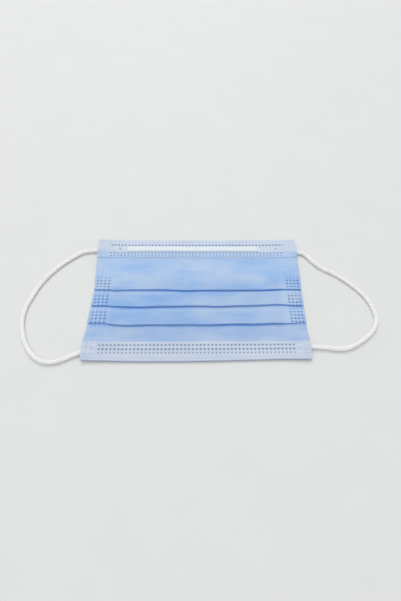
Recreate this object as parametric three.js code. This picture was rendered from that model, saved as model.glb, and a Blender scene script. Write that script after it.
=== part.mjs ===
import * as THREE from 'three';

// A child's flat-folded medical face mask, lying on its back with its outer side up.
// X runs along the width, Y from the chin edge to the nose edge, Z up from the surface it lies on.

// Outline of the folded mask
const MASK_WIDTH = 145;
const MASK_HEIGHT = 95;
const CHIN_EDGE_SAG = 1;
const SIDE_BOW = 1.4;

// Cloth
const PLY_WALL = 1;
const BINDING_WALL = 1;
const LAYER_GAP = 0.25;
const CLEARANCE = 0.3;

// Pleats: the cloth folds under at each edge, runs back and comes out again below it
const PLEAT_DEPTH = 9;
const PLEAT_STEP = 4;
const PLEAT_PUFF = 0.3;
const FOLD_SAG = 1.6;
const STACK_DROP = 3.8;

// Bindings that wrap the nose edge and the chin edge
const NOSE_BAND = 16.3;
const NOSE_TURN_BACK = 5;
const CHIN_BAND = 12.5;
const CHIN_TURN_BACK = 3;
const CORNER_LIFT = 1.2;

// Nose wire, in a raised channel of the nose binding
const WIRE_LENGTH = 96;
const WIRE_WIDTH = 4;
const WIRE_THICKNESS = 0.8;
const WIRE_INSET = 8.5;
const WIRE_SHIFT = -2.7;
const CHANNEL_RAMP = 1.3;
const CHANNEL_CLEARANCE = 0.5;
const CHANNEL_FADE = 2;

// Ear loops: round elastic whose ends are pressed flat under the corners
const LOOP_DIAMETER = 3;
const LOOP_SIDES = 8;
const LOOP_STEP = 6;
const LOOP_END_WIDTH = 4.2;
const LOOP_END_THICKNESS = 1.5;
const LOOP_END_INSIDE = 10;
const LOOP_END_OUTSIDE = 3.6;
const LOOP_END_TAPER = 2.8;

const FOLD_STEPS = 6;
const EASE_STEPS = 6;
const RAMP_STEPS = 3;

// How the cloth lies from left to right, one row for each section.
// at: share of half the width. fold1 to fold3: how far that fold edge hangs, as a share of
// FOLD_SAG. puff: share of PLEAT_PUFF. nose and chin: share of CORNER_LIFT. edge: share of
// CHIN_EDGE_SAG. bow: share of SIDE_BOW.
const SECTIONS = [
  { at: -1.0, fold1: 0.0, fold2: 0.4, fold3: 0.0, puff: 0.0, nose: 0.5, chin: 0.6, edge: 0.0, bow: 1.0 },
  { at: -0.86, fold1: 0.1, fold2: 0.5, fold3: 0.2, puff: 0.0, nose: 0.45, chin: 0.5, edge: 0.35, bow: 0.6 },
  { at: -0.64, fold1: 0.3, fold2: 0.95, fold3: 1.0, puff: 0.5, nose: 0.2, chin: 0.3, edge: 0.85, bow: 0.2 },
  { at: -0.4, fold1: 0.1, fold2: 0.9, fold3: 1.0, puff: 0.9, nose: 0.05, chin: 0.2, edge: 1.0, bow: 0.0 },
  { at: -0.1, fold1: 0.5, fold2: 0.7, fold3: 0.9, puff: 1.0, nose: 0.0, chin: 0.1, edge: 1.0, bow: 0.0 },
  { at: 0.2, fold1: 0.55, fold2: 0.75, fold3: 0.8, puff: 0.9, nose: 0.0, chin: 0.1, edge: 0.9, bow: 0.0 },
  { at: 0.5, fold1: 0.4, fold2: 0.4, fold3: 0.7, puff: 1.0, nose: 0.05, chin: 0.15, edge: 0.7, bow: 0.0 },
  { at: 0.75, fold1: 0.1, fold2: 0.0, fold3: 0.4, puff: 0.4, nose: 0.25, chin: 0.3, edge: 0.45, bow: 0.0 },
  { at: 0.88, fold1: 0.1, fold2: 0.3, fold3: 0.2, puff: 0.0, nose: 0.45, chin: 0.45, edge: 0.2, bow: 0.0 },
  { at: 1.0, fold1: 0.2, fold2: 0.5, fold3: 0.0, puff: 0.0, nose: 0.5, chin: 0.5, edge: 0.0, bow: 0.0 },
];

// The three pleats from the nose down. step: the run of cloth below the pleat above,
// as a share of PLEAT_STEP.
const PLEATS = [
  { sag: 'fold1', step: 0 },
  { sag: 'fold2', step: 0.8 },
  { sag: 'fold3', step: 1.15 },
];

// Centre lines of the two ear loops where they lie clear of the mask, x and y on the surface
const LEFT_LOOP_ROUTE = [
  [-76.4, 37.5], [-79.6, 37.1], [-83, 36.1], [-86.9, 33.6], [-91.4, 30], [-95.8, 26],
  [-100, 21.5], [-103.9, 16.2], [-107.6, 10.2], [-110.5, 3.8], [-112.6, -2.5], [-114.4, -8.4],
  [-115, -13.7], [-115, -18.5], [-114.1, -23.6], [-112.6, -28.7], [-110.6, -33.6],
  [-108, -38.1], [-104.8, -42.2], [-101.1, -45.5], [-97.3, -47.7], [-93.1, -48.6],
  [-88.8, -48.4], [-84.7, -47.1], [-80.7, -45.4], [-76.4, -43.5],
];
const RIGHT_LOOP_ROUTE = [
  [76.4, 35.5], [78.6, 34.7], [81, 32], [83.4, 28.8], [86, 25.7], [88.8, 23], [92, 20.6],
  [95.3, 18.8], [98.5, 16.8], [101.6, 14.3], [104.6, 11.6], [107.6, 8.8], [110.5, 5.7],
  [113.3, 2.2], [115.9, -1.7], [117.7, -5.7], [118.9, -9.6], [119.6, -13.9], [119.7, -18.4],
  [118.6, -22.5], [116.1, -26.5], [112.8, -30.1], [108.8, -33.3], [104.6, -36],
  [100.6, -38.2], [97.1, -39.6], [93.1, -40.4], [88.6, -40.4], [83.6, -39.7], [76.4, -39.1],
];

// The flattened ends of the loops. side: -1 left, 1 right. out and rise: where the end leaves
// the mask and how far it climbs towards the middle, both along Y.
const LOOP_ENDS = [
  { name: 'loop_end_nose_left', side: -1, out: 37.5, rise: 1.2 },
  { name: 'loop_end_nose_right', side: 1, out: 35.5, rise: 3 },
  { name: 'loop_end_chin_left', side: -1, out: -43.5, rise: 5.4 },
  { name: 'loop_end_chin_right', side: 1, out: -39.1, rise: 0.4 },
];

const HALF_WIDTH = MASK_WIDTH / 2;
const NOSE_EDGE = MASK_HEIGHT / 2;
const CHIN_EDGE = -MASK_HEIGHT / 2;
const TURN_RADIUS = BINDING_WALL / 2 + CLEARANCE + PLY_WALL / 2;
const HEM_LEVEL = BINDING_WALL / 2 + TURN_RADIUS;
const WIRE_Y = NOSE_EDGE - WIRE_INSET;
const CHANNEL_RISE = WIRE_THICKNESS + CLEARANCE;
const WIRE_LEFT = WIRE_SHIFT - WIRE_LENGTH / 2;
const WIRE_RIGHT = WIRE_SHIFT + WIRE_LENGTH / 2;

// Straight-line value of one column of the section table at a place along the width
function column(name, x) {
  const share = THREE.MathUtils.clamp(x / HALF_WIDTH, -1, 1);
  const next = Math.max(1, SECTIONS.findIndex((row) => row.at >= share));
  const a = SECTIONS[next - 1];
  const b = SECTIONS[next];
  return THREE.MathUtils.mapLinear(share, a.at, b.at, a[name], b[name]);
}

// Y of the edge of each pleat, from the nose down. The stack of pleats sits STACK_DROP below
// the middle of the mask, and each pleat starts one step below the fold above it.
function foldEdges(x) {
  const steps = PLEATS.map((pleat) => pleat.step * PLEAT_STEP);
  const stack = PLEATS.length * PLEAT_DEPTH + steps.reduce((sum, step) => sum + step, 0);
  let y = stack / 2 - STACK_DROP;
  return PLEATS.map((pleat, i) => {
    y -= PLEAT_DEPTH + steps[i];
    return y - column(pleat.sag, x) * FOLD_SAG;
  });
}

// Heights of the middle of the three cloth layers in a pleat, from the lowest up
function layerLevels(x) {
  const pitch = PLY_WALL + LAYER_GAP + column('puff', x) * PLEAT_PUFF;
  return [0, 1, 2].map((layer) => PLY_WALL / 2 + layer * pitch);
}

function noseLevel(x) {
  return HEM_LEVEL + column('nose', x) * CORNER_LIFT;
}

function chinLevel(x) {
  return HEM_LEVEL + column('chin', x) * CORNER_LIFT;
}

function chinEdge(x) {
  return CHIN_EDGE - column('edge', x) * CHIN_EDGE_SAG;
}

// Height of the wire's channel at a place along the width: full over the wire, then it fades out
function channelRise(x) {
  const past = Math.max(WIRE_LEFT - CHANNEL_CLEARANCE - x, x - WIRE_RIGHT - CHANNEL_CLEARANCE, 0);
  return CHANNEL_RISE * Math.max(0, 1 - past / CHANNEL_FADE);
}

// Points of a smooth S from one place to another, without its first point
function ease(y0, z0, y1, z1, steps) {
  return Array.from({ length: steps }, (_, i) => {
    const t = (i + 1) / steps;
    const blend = (1 - Math.cos(Math.PI * t)) / 2;
    return [THREE.MathUtils.lerp(y0, y1, t), THREE.MathUtils.lerp(z0, z1, blend)];
  });
}

// Points of a round fold from one level to another. facing is -1 when the fold's edge faces
// the chin and 1 when it faces the nose; edge is where the middle of the cloth turns.
function turn(edge, fromLevel, toLevel, facing) {
  const radius = Math.abs(toLevel - fromLevel) / 2;
  const middle = (fromLevel + toLevel) / 2;
  const down = Math.sign(fromLevel - toLevel);
  return Array.from({ length: FOLD_STEPS + 1 }, (_, i) => {
    const angle = Math.PI * (i / FOLD_STEPS - 0.5);
    const y = edge + facing * radius * (Math.cos(angle) - 1);
    return [y, middle - down * radius * Math.sin(angle)];
  });
}

// Middle line of the pleated cloth from the nose edge to the chin edge
function panelLine(x) {
  const [low, middle, high] = layerLevels(x);
  const edges = foldEdges(x);
  const nose = noseLevel(x);
  const chin = chinLevel(x);
  const bandEnd = NOSE_EDGE - NOSE_BAND;
  const line = [[NOSE_EDGE - BINDING_WALL / 2 - TURN_RADIUS, nose], [bandEnd, nose]];
  line.push(...ease(bandEnd, nose, edges[0] + PLEAT_DEPTH, high, EASE_STEPS));
  edges.forEach((edge, i) => {
    const inner = edge + PLEAT_DEPTH;
    line.push(...turn(edge + PLY_WALL / 2, high, middle, -1));
    line.push(...turn(inner - PLY_WALL / 2, middle, low, 1));
    line.push([edge, low]);
    if (i + 1 < edges.length) {
      line.push(...ease(edge, low, edges[i + 1] + PLEAT_DEPTH, high, EASE_STEPS));
    }
  });
  const chinBandEnd = CHIN_EDGE + CHIN_BAND;
  line.push(...ease(edges.at(-1), low, chinBandEnd + CLEARANCE, chin, EASE_STEPS));
  line.push([chinEdge(x) + BINDING_WALL / 2 + TURN_RADIUS, chin]);
  return line;
}

// Middle line of the nose binding: its free edge on the front, over the wire, round the edge
function noseBindingLine(x) {
  const level = noseLevel(x);
  const front = level + TURN_RADIUS;
  const top = front + channelRise(x);
  const flat = WIRE_WIDTH / 2 + CHANNEL_CLEARANCE;
  const line = [[NOSE_EDGE - NOSE_BAND, front], [WIRE_Y - flat - CHANNEL_RAMP, front]];
  line.push(...ease(WIRE_Y - flat - CHANNEL_RAMP, front, WIRE_Y - flat, top, RAMP_STEPS));
  line.push([WIRE_Y + flat, top]);
  line.push(...ease(WIRE_Y + flat, top, WIRE_Y + flat + CHANNEL_RAMP, front, RAMP_STEPS));
  line.push(...turn(NOSE_EDGE - BINDING_WALL / 2, front, level - TURN_RADIUS, 1));
  line.push([NOSE_EDGE - NOSE_TURN_BACK, level - TURN_RADIUS]);
  return line;
}

// Middle line of the chin binding, from its free edge on the front round to the back
function chinBindingLine(x) {
  const level = chinLevel(x);
  const edge = chinEdge(x);
  const line = [[CHIN_EDGE + CHIN_BAND, level + TURN_RADIUS]];
  line.push(...turn(edge + BINDING_WALL / 2, level + TURN_RADIUS, level - TURN_RADIUS, -1));
  line.push([edge + CHIN_TURN_BACK, level - TURN_RADIUS]);
  return line;
}

function wireLine(x) {
  const middle = noseLevel(x) + PLY_WALL / 2 + CLEARANCE + WIRE_THICKNESS / 2;
  return [[WIRE_Y + WIRE_WIDTH / 2, middle], [WIRE_Y - WIRE_WIDTH / 2, middle]];
}

// The two faces of a strip of cloth: its middle line moved half a wall to each side
function faces(line, wall) {
  return line.map(([y, z], i) => {
    const [y0, z0] = line[Math.max(i - 1, 0)];
    const [y1, z1] = line[Math.min(i + 1, line.length - 1)];
    const before = new THREE.Vector2(y - y0, z - z0).normalize();
    const after = new THREE.Vector2(y1 - y, z1 - z).normalize();
    const along = before.add(after).normalize();
    const bend = i > 0 && i + 1 < line.length ? Math.max(along.dot(after), 0.5) : 1;
    const half = wall / 2 / bend;
    return [
      [y - along.y * half, z + along.x * half],
      [y + along.y * half, z - along.x * half],
    ];
  });
}

// X of a point of the cloth: the left side bows in between the bindings
function bowed(x, y) {
  const share = 1 - (y / NOSE_EDGE) ** 2;
  return x + column('bow', x) * SIDE_BOW * Math.max(share, 0);
}

// Closed mesh of a strip of cloth lofted along the width through the given stations
function loftCloth(stations, lineAt, wall) {
  const points = [];
  const index = [];
  const rings = stations.map((x) => faces(lineAt(x), wall));
  const count = rings[0].length;
  rings.forEach((ring, s) => {
    ring.forEach((pair) => pair.forEach(([y, z]) => points.push(bowed(stations[s], y), y, z)));
  });
  const at = (s, i, side) => (s * count + i) * 2 + side;
  const quad = (a, b, c, d) => index.push(a, b, c, a, c, d);
  for (let s = 0; s + 1 < stations.length; s += 1) {
    for (let i = 0; i + 1 < count; i += 1) {
      quad(at(s, i, 0), at(s, i + 1, 0), at(s + 1, i + 1, 0), at(s + 1, i, 0));
      quad(at(s, i, 1), at(s + 1, i, 1), at(s + 1, i + 1, 1), at(s, i + 1, 1));
    }
    quad(at(s, 0, 0), at(s + 1, 0, 0), at(s + 1, 0, 1), at(s, 0, 1));
    const end = count - 1;
    quad(at(s, end, 0), at(s, end, 1), at(s + 1, end, 1), at(s + 1, end, 0));
  }
  const last = stations.length - 1;
  for (let i = 0; i + 1 < count; i += 1) {
    quad(at(0, i, 0), at(0, i, 1), at(0, i + 1, 1), at(0, i + 1, 0));
    quad(at(last, i, 0), at(last, i + 1, 0), at(last, i + 1, 1), at(last, i, 1));
  }
  return outward(points, index);
}

// Geometry from points and triangles, turned so that its faces point out
function outward(points, index) {
  const corner = (i) => new THREE.Vector3().fromArray(points, index[i] * 3);
  let volume = 0;
  for (let i = 0; i < index.length; i += 3) {
    volume += corner(i).dot(corner(i + 1).cross(corner(i + 2)));
  }
  if (volume < 0) {
    index.reverse();
  }
  const geometry = new THREE.BufferGeometry();
  geometry.setAttribute('position', new THREE.Float32BufferAttribute(points, 3));
  geometry.setIndex(index);
  geometry.computeVertexNormals();
  return geometry;
}

// Stations along the width: the rows of the section table, and the ends of the wire's channel
function clothStations() {
  const channel = [WIRE_LEFT - CHANNEL_CLEARANCE, WIRE_RIGHT + CHANNEL_CLEARANCE];
  const fades = [channel[0] - CHANNEL_FADE, channel[1] + CHANNEL_FADE];
  const places = SECTIONS.map((row) => row.at * HALF_WIDTH);
  return [...places, ...channel, ...fades].sort((a, b) => a - b);
}

function wireStations() {
  const inside = SECTIONS.map((row) => row.at * HALF_WIDTH);
  return [WIRE_LEFT, ...inside.filter((x) => x > WIRE_LEFT && x < WIRE_RIGHT), WIRE_RIGHT];
}

// Free stretch of an ear loop: a round section swept along its route on the surface
function loopGeometry(route) {
  const radius = LOOP_DIAMETER / 2;
  const corners = Array.from({ length: LOOP_SIDES }, (_, i) => {
    const angle = (i * 2 * Math.PI) / LOOP_SIDES;
    return new THREE.Vector2(radius * Math.cos(angle), radius * Math.sin(angle));
  });
  const path = new THREE.CatmullRomCurve3(route.map(([x, y]) => new THREE.Vector3(x, y, radius)));
  const steps = Math.round(path.getLength() / LOOP_STEP);
  return new THREE.ExtrudeGeometry(new THREE.Shape(corners), {
    steps,
    extrudePath: path,
    bevelEnabled: false,
  });
}

// Flattened end of an ear loop: round where the loop starts, wedged down to pass under the
// side edge, then flat on the surface to its blunt end under the corner
function loopEndGeometry({ side, out, rise }) {
  const outer = HALF_WIDTH + LOOP_END_OUTSIDE;
  const inner = HALF_WIDTH - LOOP_END_INSIDE;
  const slope = rise / (outer - inner);
  const direction = new THREE.Vector2(-side, slope).normalize();
  const sections = [
    { x: outer, width: LOOP_DIAMETER, height: LOOP_DIAMETER },
    { x: outer - LOOP_END_TAPER, width: LOOP_END_WIDTH, height: LOOP_END_THICKNESS },
    { x: inner, width: LOOP_END_WIDTH, height: LOOP_END_THICKNESS },
  ];
  const points = [];
  const index = [];
  sections.forEach(({ x, width, height }) => {
    for (let i = 0; i < LOOP_SIDES; i += 1) {
      const angle = (i * 2 * Math.PI) / LOOP_SIDES;
      const across = (width / 2) * Math.cos(angle);
      const z = (height / 2) * (1 + Math.sin(angle));
      const y = out + (outer - x) * slope;
      points.push(side * x - direction.y * across, y + direction.x * across, z);
    }
  });
  for (let s = 0; s + 1 < sections.length; s += 1) {
    for (let i = 0; i < LOOP_SIDES; i += 1) {
      const a = s * LOOP_SIDES + i;
      const b = s * LOOP_SIDES + ((i + 1) % LOOP_SIDES);
      index.push(a, b, b + LOOP_SIDES, a, b + LOOP_SIDES, a + LOOP_SIDES);
    }
  }
  const last = (sections.length - 1) * LOOP_SIDES;
  for (let i = 1; i + 1 < LOOP_SIDES; i += 1) {
    index.push(0, i + 1, i, last, last + i, last + i + 1);
  }
  return outward(points, index);
}

const BLUE_CLOTH = { color: 0xaec7e4, roughness: 0.9, metalness: 0 };
const WHITE_CLOTH = { color: 0xd6e1ec, roughness: 0.9, metalness: 0 };
const WHITE_WIRE = { color: 0xeef1f4, roughness: 0.5, metalness: 0 };
const WHITE_ELASTIC = { color: 0xe9eae8, roughness: 0.85, metalness: 0 };

function piece(name, geometry, look) {
  const mesh = new THREE.Mesh(geometry, new THREE.MeshStandardMaterial(look));
  mesh.name = name;
  return mesh;
}

const mask = new THREE.Group();
mask.add(
  piece('pleated_panel', loftCloth(clothStations(), panelLine, PLY_WALL), BLUE_CLOTH),
  piece('nose_binding', loftCloth(clothStations(), noseBindingLine, BINDING_WALL), WHITE_CLOTH),
  piece('chin_binding', loftCloth(clothStations(), chinBindingLine, BINDING_WALL), WHITE_CLOTH),
  piece('nose_wire', loftCloth(wireStations(), wireLine, WIRE_THICKNESS), WHITE_WIRE),
  piece('ear_loop_left', loopGeometry(LEFT_LOOP_ROUTE), WHITE_ELASTIC),
  piece('ear_loop_right', loopGeometry(RIGHT_LOOP_ROUTE), WHITE_ELASTIC),
);
LOOP_ENDS.forEach((end) => mask.add(piece(end.name, loopEndGeometry(end), WHITE_ELASTIC)));

// The chin edge hangs past its corners, so the middle of the mask's box lies below its centre
mask.position.y = CHIN_EDGE_SAG / 2;

export default mask;
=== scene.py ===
import math

import bpy
import numpy as np
from mathutils import Matrix, Vector


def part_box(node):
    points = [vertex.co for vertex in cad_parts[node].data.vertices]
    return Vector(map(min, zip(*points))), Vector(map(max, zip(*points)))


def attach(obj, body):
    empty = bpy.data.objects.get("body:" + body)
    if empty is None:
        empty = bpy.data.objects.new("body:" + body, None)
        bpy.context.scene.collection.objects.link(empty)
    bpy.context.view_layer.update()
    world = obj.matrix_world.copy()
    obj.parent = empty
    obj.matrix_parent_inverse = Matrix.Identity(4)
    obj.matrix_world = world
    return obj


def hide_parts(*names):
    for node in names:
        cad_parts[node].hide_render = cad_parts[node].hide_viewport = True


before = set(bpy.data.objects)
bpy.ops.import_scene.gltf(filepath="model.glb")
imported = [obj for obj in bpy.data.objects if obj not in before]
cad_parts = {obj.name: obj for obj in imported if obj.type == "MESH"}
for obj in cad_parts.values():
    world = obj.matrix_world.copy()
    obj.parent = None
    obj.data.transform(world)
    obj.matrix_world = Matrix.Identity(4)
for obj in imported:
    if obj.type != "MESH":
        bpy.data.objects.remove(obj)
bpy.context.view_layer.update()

# Metres in a millimetre. Sizes are in millimetres unless their heading says otherwise.
MM = 0.001

# Corners of the solids' boxes
NOSE_LOW, NOSE_HIGH = (np.array(p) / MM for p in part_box("nose_binding"))
CHIN_LOW, CHIN_HIGH = (np.array(p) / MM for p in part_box("chin_binding"))
WIRE_LOW, WIRE_HIGH = (np.array(p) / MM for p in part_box("nose_wire"))

# Outline of the mask, its two bands and its wire
HALF_WIDTH = NOSE_HIGH[0]
NOSE_EDGE = NOSE_HIGH[1]
CHIN_EDGE_SAG = 1.0
CHIN_EDGE = CHIN_LOW[1] + CHIN_EDGE_SAG
NOSE_BAND = NOSE_HIGH[1] - NOSE_LOW[1]
CHIN_BAND = CHIN_HIGH[1] - CHIN_EDGE
NOSE_BAND_EDGE = NOSE_EDGE - NOSE_BAND
CHIN_BAND_EDGE = CHIN_EDGE + CHIN_BAND
WIRE_MIDDLE = (WIRE_LOW[1] + WIRE_HIGH[1]) / 2
WIRE_HALF = (WIRE_HIGH[1] - WIRE_LOW[1]) / 2

# How far the side edges stand to the right of a straight side: y, left edge, right edge
SIDE_LINE = (
    (-47.5, 0.2, -0.6), (-44.5, -0.8, 0.0), (-35.0, -0.7, 0.0), (-29.0, 0.3, -0.2), (-21.2, 0.6, -0.4),
    (-7.6, 1.4, -0.3), (4.6, 2.2, 0.0), (30.0, 0.8, 0.6), (47.5, 0.4, 0.9),
)

# Plies: each is thin cloth, and two of them lie face to face
PLY = 0.27
PLY_GAP = 0.03
TURN_RADIUS = 0.34

# How far inside the mask's edges the two plies end, under the hems
CLOTH_INSIDE = 2 * PLY + TURN_RADIUS

# Heights of the cloth's middle in a pleat, lowest first: where it is free, and where the side welds
# press it, from PRESS_FROM to the side of the mask's middle on, and fully from PRESS_TO on
FREE_LEVELS = (0.4, 1.12, 1.86)
PRESSED_LEVELS = (0.62, 1.24, 1.86)
PRESS_FROM = 55.0
PRESS_TO = 60.5

# Height of the cloth in the bands, how far their corners ride up, and the lowest height of cloth
HEM_LEVEL = 0.85
CORNER_LIFT = 1.1
LOWEST_CLOTH = 0.02

# Pleats. PLEAT_STEPS: cloth between a pleat's stack and the one before, as shares of PLEAT_STEP.
# STACK_DROP: how far all stacks stand towards the chin.
PLEAT_DEPTH = 9.0
PLEAT_STEP = 4.0
PLEAT_STEPS = (0.0, 0.8, 1.15)
STACK_DROP = 3.8
FOLD_SAG = 1.6
PLEAT_PUFF = 0.25

# Small waves of the fold edges: height, length in a radian, and radians from fold to fold
FOLD_WAVES = ((0.14, 9.0, 2.1), (0.1, 4.3, 1.3))

# Where the cloth begins to leave the level of the bands, inside their edges
NOSE_RISE_INSIDE = 1.5
CHIN_RISE_INSIDE = 1.0

# Unevenness of the lying cloth: height, length and seed of each ripple, which sums waves of that
# length times a factor within RIPPLE_SPREAD. It sets in between the heights of RIPPLE_HEIGHTS, and
# the side welds take away WELDED_CALM of it.
RIPPLES = ((0.16, 46, 3), (0.07, 17, 4))
RIPPLE_WAVES = 6
RIPPLE_SPREAD = (0.7, 1.6)
RIPPLE_HEIGHTS = (0.1, 1.6)
WELDED_CALM = 0.75

# How the cloth lies from left to right. at: share of half the width. fold1 to fold3: share of
# FOLD_SAG. puff: share of PLEAT_PUFF. nose, chin: share of CORNER_LIFT. edge: share of
# CHIN_EDGE_SAG. bow: share of SIDE_LINE.
SECTION_COLUMNS = ("at", "fold1", "fold2", "fold3", "puff", "nose", "chin", "edge", "bow")
SECTIONS = (
    (-1.0, 0.0, 0.4, 0.0, 0.0, 0.95, 1.0, 0.35, 1.0),
    (-0.94, 0.0, 0.4, 0.1, 0.0, 0.7, 0.75, 0.4, 0.3),
    (-0.86, 0.0, 0.4, 0.1, 0.0, 0.45, 0.55, 0.5, 0.1),
    (-0.82, 0.05, 0.45, 0.2, 0.0, 0.4, 0.5, 0.45, 0.05),
    (-0.795, 0.5, 0.85, 0.6, 0.1, 0.35, 0.45, 0.5, 0.0),
    (-0.74, 0.35, 0.85, 0.8, 0.25, 0.3, 0.4, 0.65, 0.0),
    (-0.64, 0.3, 0.95, 1.0, 0.5, 0.2, 0.3, 0.85, 0.0),
    (-0.4, 0.1, 0.9, 1.0, 0.9, 0.05, 0.2, 1.0, 0.0),
    (-0.1, 0.5, 0.7, 0.9, 1.0, 0.0, 0.1, 1.0, 0.0),
    (0.2, 0.55, 0.75, 0.8, 0.9, 0.0, 0.1, 0.7, 0.0),
    (0.5, 0.4, 0.4, 0.7, 1.0, 0.05, 0.15, 0.15, 0.0),
    (0.75, 0.1, 0.0, 0.4, 0.4, 0.25, 0.3, -0.25, 0.0),
    (0.88, 0.1, 0.3, 0.2, 0.0, 0.45, 0.45, -0.15, 0.1),
    (0.94, 0.15, 0.4, 0.1, 0.0, 0.7, 0.7, -0.05, 0.3),
    (1.0, 0.2, 0.5, 0.0, 0.0, 0.95, 0.95, 0.0, 1.0),
)
TABLE = dict(zip(SECTION_COLUMNS, zip(*SECTIONS)))

# Smoothing of the sections and of the side line: reach to each side, the first as a share of half
# the width, and number of samples
SECTION_SMOOTHING = (0.025, 5)
SIDE_LINE_SMOOTHING = (5, 7)

# Rows of the cloth's mesh: their distance in view, out of view and where they stand closer, and
# their number above the pleats, below them, on a pleat's back leg and round a fold. SHORTEST_STEP
# keeps a division clear of 0.
VISIBLE_ROW = 0.45
HIDDEN_ROW = 0.66
FINE_ROW = 0.36
TOP_PANEL_ROWS = 44
LOW_PANEL_ROWS = 27
BACK_LEG_ROWS = 8
TURN_ROWS = 10
SHORTEST_STEP = 1e-6

# Columns of the cloth's mesh: beside a weld place, their distance elsewhere, the share of it that
# the two kinds keep apart, and the panel's plain middle
WELD_COLUMNS = (-0.72, -0.45, -0.2, 0.2, 0.45, 0.72)
SIDE_COLUMN = 0.8
HEM_COLUMN = 0.9
COLUMN_CLEARANCE = 0.3
PLAIN_HALF = 57.0
PLAIN_COLUMNS = 61

# Shape of a weld dot: the power of its outline, between a circle and a square, and the shares of
# its radius where its flat middle ends and where its rim ends
DOT_POWER = 2.6
DOT_FLAT = 0.45
DOT_RIM = 1.25

# Weld dots at the sides. SIDE_WELD_SCALE: factors on x and y from a dot's middle, which make it
# wide and low. SIDE_WELD_ENDS: how far clear of the chin edge and of the nose edge.
WELD_PITCH = 2.48
SIDE_WELD_PHASE = 1.6
SIDE_WELD_WIDTH = 1.22
SIDE_WELD_SCALE = (0.8, 1.15)
SIDE_WELD_ENDS = (2.5, 1.5)
LEFT_WELDS = (-69.8, -66.9, -64.0, -61.1)
RIGHT_WELDS = (63.1, 65.6, 68.1, 70.6)

# Strength of the side welds on single cloth and in the bands, and the gap between the two
SINGLE_WELD = 0.16
HEM_SIDE_WELD = 0.25
BAND_CLEARANCE = 0.5

# Side welds at a pleat: share that sets in, and between which distances from the fold edge.
# WELD_FADE: between which distances from the top of the pleat they fade out.
WELD_STEPS = ((0.35, (-3.5, -2.5)), (0.65, (-0.6, 0.4)))
WELD_FADE = (-2.5, 3.0)

# Rows of weld dots along the bands: y, strength, how far they reach to each side, dot width
HEM_WELD_PHASE = -0.25
ROW_END_FADE = (0.0, 1.0)
BAND_DOT_ROWS = (
    (45.6, 0.25, 66, 1.0), (43.0, 1.0, 63.5, 1.45), (35.8, 1.0, 63.5, 1.4), (33.3, 1.0, 63.5, 1.35),
    (-36.95, 0.85, 62.3, 1.45), (-39.75, 0.9, 62.3, 1.5), (-42.2, 0.7, 62.3, 1.3),
)

# Single dots beside the ends of the wire: places, strength and radius
STOP_SPOTS = ((-56.1, 39.7), (58.1, 39.7))
STOP_SPOT_STRENGTH = 0.6
STOP_SPOT_RADIUS = 0.9

# Slanting marks over the loops' welded ends: places, strength, radius, and how much x and y count
# across a mark
LOOP_MARKS = ((-66.2, -39.0), (65.4, -39.4))
LOOP_MARK_STRENGTH = 0.28
LOOP_MARK_RADIUS = 1.0
LOOP_MARK_SLANT = (0.5, 0.4)

# How far the welds press: the whole stack, the ply below a dot row and the hem's front and back.
# STRIPE_REACH: shares of a dot's width. The hem's faces are told apart by their height over the
# cloth's level. HEM_MARGIN: how far inside a hem's free edge the ply below counts as covered.
WELD_SQUEEZE = 0.5
HEM_MARGIN = 0.8
STRIPE_REACH = (0.55, 0.9)
STRIPE_THINNING = 0.8
STRIPE_GAIN = 1.2
HEM_PUSH = 0.2
HEM_BACK_PUSH = 0.13
HEM_FRONT_HEIGHTS = (-0.02, 0.2)
HEM_BACK_HEIGHTS = (-0.12, -0.2)

# Gap between a hem's back leg and the inner ply, and thickness of a hem's first rows as shares
HEM_BACK_GAP = 0.02
HEM_EDGE_THINNING = (0.1, 0.6, 0.9)

# Zone of the pleats: between which distances from the first and the last fold edge it fades, and
# how much of it the side welds take away
ZONE_ABOVE = (1, 12)
ZONE_BELOW = (-14, -7)
PRESSED_PALING = 0.75

# How deep the painted shade in the crease below each fold shows: place as a share of half the
# width, then folds 1 to 3. CREASE_ABOVE, CREASE_PLY_SHARE: how far it reaches over the fold edge
# and into the top layer.
CREASES = (
    (-1.0, 0.5, 0.75, 0.5), (-0.72, 0.6, 0.9, 1.0), (-0.55, 0.95, 1.1, 1.1), (-0.3, 1.1, 0.8, 0.9),
    (-0.15, 1.5, 0.85, 0.8), (0.0, 1.1, 0.85, 0.7), (0.2, 0.75, 0.9, 1.2), (0.35, 0.6, 0.8, 2.1),
    (0.5, 0.6, 0.65, 2.8), (0.62, 0.9, 0.8, 2.0), (0.72, 1.4, 0.95, 1.1), (0.85, 1.0, 0.95, 0.75),
    (1.0, 0.8, 0.6, 0.45),
)
CREASE_START = 0.1
CREASE_LIMIT = 1.25
CREASE_ABOVE = 0.5
CREASE_PLY_SHARE = 0.4

# Painted shade of a faint crease above the chin edge and on the turned edge: distances from the edge
CHIN_CREASE = 2.0
CHIN_CREASE_WIDTH = 0.4
CHIN_CREASE_SHADE = 0.3
CHIN_TURN_SHADE = (0.1, 0.6)

# Nose wire: a sheath with two cores. Heights, the cores' place as a share of half its width and
# their spread, the clearance over the cloth, and the rows and columns of its mesh
SHEATH_HEIGHT = 0.14
CORE_HEIGHT = 0.24
CORE_PLACE = 0.55
CORE_SPREAD = 0.45
WIRE_RIM = 0.06
WIRE_CLEARANCE = 0.06
WIRE_ROWS = 21
WIRE_COLUMNS = 60

# Ridge of the hem over the wire: height, and between which distances from the wire it ends
RIDGE_HEIGHT = 0.75
RIDGE_SIDE = (0.0, 0.7)
RIDGE_LEFT_END = (-1.2, 0.2)
RIDGE_RIGHT_END = (-0.4, 1.4)

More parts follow.
